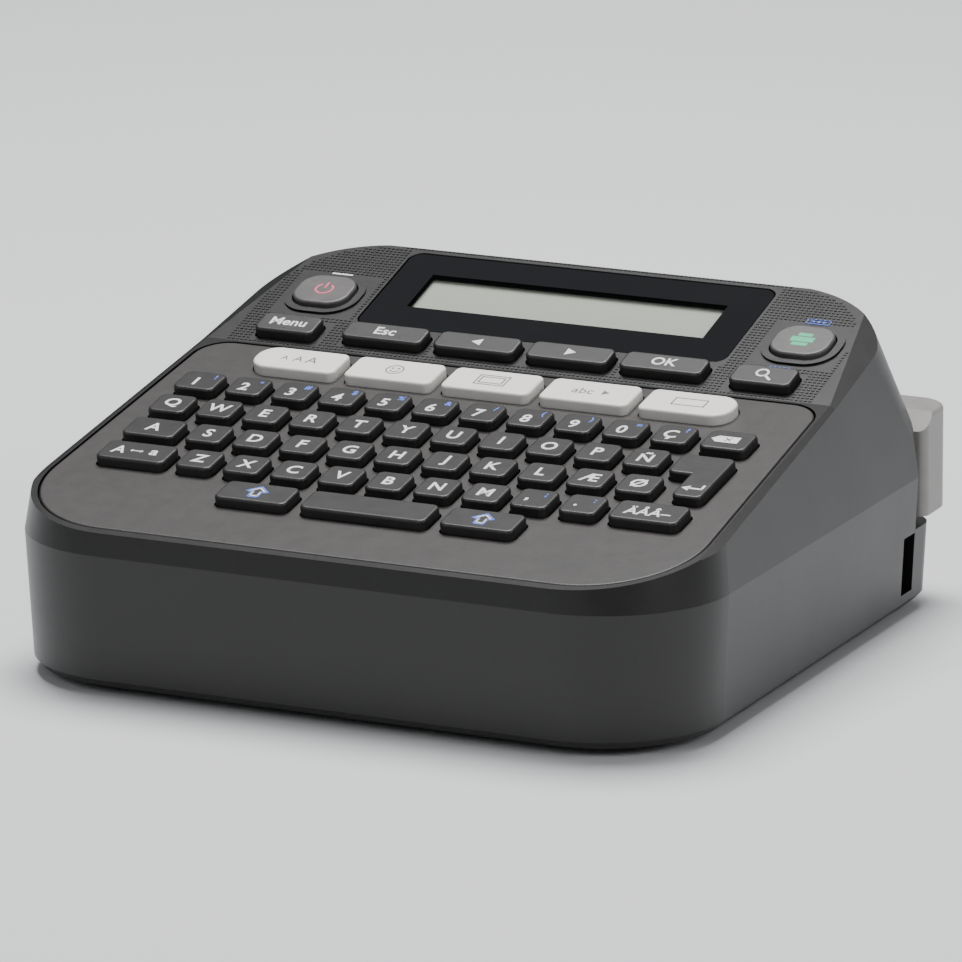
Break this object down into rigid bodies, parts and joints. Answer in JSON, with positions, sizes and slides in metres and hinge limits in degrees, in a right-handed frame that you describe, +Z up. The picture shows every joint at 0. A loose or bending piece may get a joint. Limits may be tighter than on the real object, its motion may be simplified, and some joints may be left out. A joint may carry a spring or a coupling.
{
  "type": "label maker",
  "caption": "Desktop label maker with a sloped full keyboard, recessed display, side tape exit, swinging cutter lever, and battery and tape bays under a hinged back cover.",
  "frame": {"origin": "on the resting surface under the feet, below the centre of the whole object", "axes": "+X to the user's right along the keyboard, +Y from the keyboard towards the display and rear, +Z up"},
  "size_m": [0.1558, 0.149, 0.0673],
  "materials": {
    "casing_black": "fine semi-matte moulded black",
    "plate_grey": "fine matte dark grey",
    "key_dark": "satin dark grey",
    "key_white": "satin warm white",
    "key_round_grey": "satin grey",
    "lever_grey": "satin light grey",
    "window_black": "polished black border with a clear centre",
    "display_glass": "greenish grey liquid crystal panel",
    "frame_plastic": "moulded grey",
    "cassette_grey": "moulded grey",
    "gear_white": "natural acetal",
    "tape_white": "laminated film",
    "board_green": "solder mask",
    "chip_black": "moulded epoxy",
    "silicone": "silicone rubber",
    "flex_amber": "polyimide film",
    "steel": "bright steel",
    "alloy": "cast aluminium",
    "cell_wrap": "printed sleeve"
  },
  "bodies": {
    "root": {"top_case": "casing_black", "bottom_case": "casing_black", "keyboard_plate": "plate_grey", "display_window": "window_black", "lcd_module": "display_glass", "lcd_frame": "frame_plastic", "mechanism_frame": "frame_plastic", "cassette_base": "cassette_grey", "cassette_lid": "cassette_grey", "label_tape": "tape_white", "main_board": "board_green", "display_board": "board_green", "board_chips": "chip_black", "dc_jack": "chip_black", "print_head": "chip_black", "keypad_mat": "silicone", "rubber_feet": "silicone", "lcd_cable": "flex_amber", "case_screws": "steel", "battery_contacts": "steel", "cutter_anvil": "steel", "lever_spring": "steel", "motor": "steel", "head_heat_sink": "alloy", "batteries": "cell_wrap"},
    "number_row_keys": {"number_row_keys": "key_dark"},
    "upper_row_keys": {"upper_row_keys": "key_dark"},
    "home_row_keys": {"home_row_keys": "key_dark"},
    "lower_row_keys": {"lower_row_keys": "key_dark"},
    "key_enter": {"key_enter": "key_dark"},
    "key_space": {"key_space": "key_dark"},
    "key_shift_left": {"key_shift_left": "key_dark"},
    "key_shift_right": {"key_shift_right": "key_dark"},
    "key_font": {"key_font": "key_white"},
    "key_symbol": {"key_symbol": "key_white"},
    "key_frame": {"key_frame": "key_white"},
    "key_preset": {"key_preset": "key_white"},
    "key_style": {"key_style": "key_white"},
    "key_escape": {"key_escape": "key_dark"},
    "key_left": {"key_left": "key_dark"},
    "key_right": {"key_right": "key_dark"},
    "key_ok": {"key_ok": "key_dark"},
    "key_menu": {"key_menu": "key_dark"},
    "key_search": {"key_search": "key_dark"},
    "key_power": {"key_power": "key_round_grey"},
    "key_print": {"key_print": "key_round_grey"},
    "back_cover": {"back_cover": "casing_black"},
    "idler": {"idler_gear": "gear_white"},
    "motor_pinion": {"motor_pinion": "gear_white"},
    "ribbon_drive": {"ribbon_spindle": "cassette_grey", "take_up_spool": "cassette_grey"},
    "tape_spool": {"tape_spool": "cassette_grey"},
    "ribbon_spool": {"ribbon_spool": "cassette_grey"},
    "roller_holder": {"roller_holder": "frame_plastic"},
    "platen": {"platen_roller": "silicone", "platen_shaft": "steel"},
    "cutter": {"cutter_lever": "lever_grey", "cutter_blade": "steel"}
  },
  "joints": [
    {"name": "number_row_keys_press", "type": "slide", "parent": "root", "child": "number_row_keys", "axis": [0, -0.2079, 0.9781], "range_m": [-0.0012, 0], "stiffness_N_per_m": 400, "springref_m": 0.0005},
    {"name": "upper_row_keys_press", "type": "slide", "parent": "root", "child": "upper_row_keys", "axis": [0, -0.2079, 0.9781], "range_m": [-0.0012, 0], "stiffness_N_per_m": 400, "springref_m": 0.0005},
    {"name": "home_row_keys_press", "type": "slide", "parent": "root", "child": "home_row_keys", "axis": [0, -0.2079, 0.9781], "range_m": [-0.0012, 0], "stiffness_N_per_m": 400, "springref_m": 0.0005},
    {"name": "lower_row_keys_press", "type": "slide", "parent": "root", "child": "lower_row_keys", "axis": [0, -0.2079, 0.9781], "range_m": [-0.0012, 0], "stiffness_N_per_m": 400, "springref_m": 0.0005},
    {"name": "enter_press", "type": "slide", "parent": "root", "child": "key_enter", "axis": [0, -0.2079, 0.9781], "range_m": [-0.0012, 0], "stiffness_N_per_m": 400, "springref_m": 0.0005},
    {"name": "space_press", "type": "slide", "parent": "root", "child": "key_space", "axis": [0, -0.2079, 0.9781], "range_m": [-0.0012, 0], "stiffness_N_per_m": 400, "springref_m": 0.0005},
    {"name": "shift_left_press", "type": "slide", "parent": "root", "child": "key_shift_left", "axis": [0, -0.2079, 0.9781], "range_m": [-0.0012, 0], "stiffness_N_per_m": 400, "springref_m": 0.0005},
    {"name": "shift_right_press", "type": "slide", "parent": "root", "child": "key_shift_right", "axis": [0, -0.2079, 0.9781], "range_m": [-0.0012, 0], "stiffness_N_per_m": 400, "springref_m": 0.0005},
    {"name": "font_press", "type": "slide", "parent": "root", "child": "key_font", "axis": [0, -0.2079, 0.9781], "range_m": [-0.0012, 0], "stiffness_N_per_m": 400, "springref_m": 0.0005},
    {"name": "symbol_press", "type": "slide", "parent": "root", "child": "key_symbol", "axis": [0, -0.2079, 0.9781], "range_m": [-0.0012, 0], "stiffness_N_per_m": 400, "springref_m": 0.0005},
    {"name": "frame_press", "type": "slide", "parent": "root", "child": "key_frame", "axis": [0, -0.2079, 0.9781], "range_m": [-0.0012, 0], "stiffness_N_per_m": 400, "springref_m": 0.0005},
    {"name": "preset_press", "type": "slide", "parent": "root", "child": "key_preset", "axis": [0, -0.2079, 0.9781], "range_m": [-0.0012, 0], "stiffness_N_per_m": 400, "springref_m": 0.0005},
    {"name": "style_press", "type": "slide", "parent": "root", "child": "key_style", "axis": [0, -0.2079, 0.9781], "range_m": [-0.0012, 0], "stiffness_N_per_m": 400, "springref_m": 0.0005},
    {"name": "escape_press", "type": "slide", "parent": "root", "child": "key_escape", "axis": [0, -0.309, 0.9511], "range_m": [-0.0012, 0], "stiffness_N_per_m": 400, "springref_m": 0.0005},
    {"name": "left_press", "type": "slide", "parent": "root", "child": "key_left", "axis": [0, -0.309, 0.9511], "range_m": [-0.0012, 0], "stiffness_N_per_m": 400, "springref_m": 0.0005},
    {"name": "right_press", "type": "slide", "parent": "root", "child": "key_right", "axis": [0, -0.309, 0.9511], "range_m": [-0.0012, 0], "stiffness_N_per_m": 400, "springref_m": 0.0005},
    {"name": "ok_press", "type": "slide", "parent": "root", "child": "key_ok", "axis": [0, -0.309, 0.9511], "range_m": [-0.0012, 0], "stiffness_N_per_m": 400, "springref_m": 0.0005},
    {"name": "menu_press", "type": "slide", "parent": "root", "child": "key_menu", "axis": [0, -0.309, 0.9511], "range_m": [-0.0012, 0], "stiffness_N_per_m": 400, "springref_m": 0.0005},
    {"name": "search_press", "type": "slide", "parent": "root", "child": "key_search", "axis": [0, -0.309, 0.9511], "range_m": [-0.0012, 0], "stiffness_N_per_m": 400, "springref_m": 0.0005},
    {"name": "power_press", "type": "slide", "parent": "root", "child": "key_power", "axis": [0, -0.309, 0.9511], "range_m": [-0.0012, 0], "stiffness_N_per_m": 400, "springref_m": 0.0005},
    {"name": "print_press", "type": "slide", "parent": "root", "child": "key_print", "axis": [0, -0.309, 0.9511], "range_m": [-0.0012, 0], "stiffness_N_per_m": 400, "springref_m": 0.0005},
    {"name": "back_cover_swing", "type": "hinge", "parent": "root", "child": "back_cover", "pos_m": [0, 0.0567, 0.002], "axis": [1, 0, 0], "range_deg": [0, 70]},
    {"name": "idler_spin", "type": "hinge", "parent": "root", "child": "idler", "pos_m": [0.02862, 0.03859, 0.028], "axis": [0, 0, 1], "continuous": true},
    {"name": "motor_spin", "type": "hinge", "parent": "root", "child": "motor_pinion", "pos_m": [0.03589, 0.02599, 0.028], "axis": [0, 0, 1], "continuous": true},
    {"name": "spindle_spin", "type": "hinge", "parent": "root", "child": "ribbon_drive", "pos_m": [0.01043, 0.03197, 0.028], "axis": [0, 0, 1], "continuous": true},
    {"name": "tape_spool_spin", "type": "hinge", "parent": "root", "child": "tape_spool", "pos_m": [-0.026, 0.024, 0.012], "axis": [0, 0, 1], "continuous": true},
    {"name": "ribbon_spool_spin", "type": "hinge", "parent": "root", "child": "ribbon_spool", "pos_m": [0.008, 0.014, 0.012], "axis": [0, 0, 1], "continuous": true},
    {"name": "roller_release", "type": "hinge", "parent": "root", "child": "roller_holder", "pos_m": [0.042, 0.06, 0.012], "axis": [0, 0, 1], "range_deg": [-4, 0], "stiffness_Nm_per_rad": 0.05, "springref_deg": 6.88},
    {"name": "platen_spin", "type": "hinge", "parent": "roller_holder", "child": "platen", "pos_m": [0.024, 0.0549, 0.012], "axis": [0, 0, 1], "continuous": true},
    {"name": "cutter_press", "type": "hinge", "parent": "root", "child": "cutter", "pos_m": [0.05, 0.0605, 0.03], "axis": [0, 0, 1], "range_deg": [-9, 0], "stiffness_Nm_per_rad": 0.05, "springref_deg": 6.88}
  ],
  "couplings": [
    {"joint": "motor_spin", "follows": "idler_spin", "ratio": -3},
    {"joint": "spindle_spin", "follows": "idler_spin", "ratio": -1.2857},
    {"joint": "platen_spin", "follows": "idler_spin", "ratio": -1.8},
    {"joint": "tape_spool_spin", "follows": "idler_spin", "ratio": 0.5175},
    {"joint": "ribbon_spool_spin", "follows": "idler_spin", "ratio": -1.1193}
  ]
}
